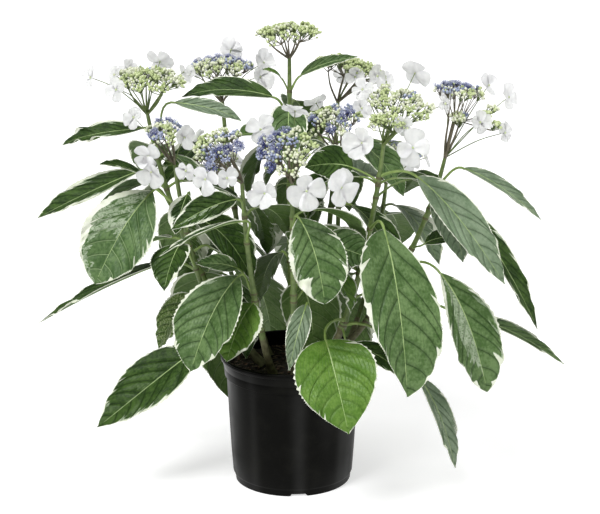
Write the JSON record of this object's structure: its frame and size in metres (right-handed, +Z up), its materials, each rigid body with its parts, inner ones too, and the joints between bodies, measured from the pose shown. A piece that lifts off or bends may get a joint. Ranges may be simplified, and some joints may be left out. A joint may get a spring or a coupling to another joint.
{
  "type": "variegated lacecap hydrangea shrub in a nursery pot",
  "caption": "Bushy flowering shrub with large white-edged leaves and flat blue and lime flower heads ringed by white florets, in a round tapered black pot.",
  "frame": {"origin": "middle of the pot's flat underside", "axes": "+Z up; -Y towards the front of the plant; +X to the right as seen from the front, along its widest spread"},
  "size_m": [0.702, 0.497, 0.6001],
  "materials": {
    "pot": "satin black plastic",
    "growing_medium": "rough peat with bark chips",
    "stem": "smooth green bark, brown at the nodes",
    "foliage": "semi-matt green leaf with irregular white edge",
    "blossom": "soft matt petals and buds"
  },
  "bodies": {
    "root": {"pot": "pot", "growing_medium": "growing_medium", "main_stem_far_left": "stem", "main_stem_front_left": "stem", "main_stem_front": "stem", "main_stem_top": "stem", "main_stem_rear_left": "stem", "main_stem_rear_right": "stem", "main_stem_front_right": "stem", "main_stem_far_right": "stem", "side_bough_left": "stem", "side_bough_inner_right": "stem", "side_bough_back_left": "stem", "side_bough_back_right": "stem", "side_bough_back": "stem", "foliage_far_left": "foliage", "foliage_left": "foliage", "foliage_front_left": "foliage", "foliage_front": "foliage", "foliage_top": "foliage", "foliage_rear_left": "foliage", "foliage_rear_right": "foliage", "foliage_inner_right": "foliage", "foliage_front_right": "foliage", "foliage_far_right": "foliage", "foliage_back_left": "foliage", "foliage_back_right": "foliage", "foliage_back": "foliage", "flower_head_far_left": "blossom", "flower_head_left": "blossom", "flower_head_front_left": "blossom", "flower_head_front": "blossom", "flower_head_top": "blossom", "flower_head_rear_left": "blossom", "flower_head_rear_right": "blossom", "flower_head_inner_right": "blossom", "flower_head_front_right": "blossom", "flower_head_far_right": "blossom", "flower_head_back_left": "blossom", "flower_head_back_right": "blossom", "flower_head_back": "blossom"}
  },
  "joints": []
}
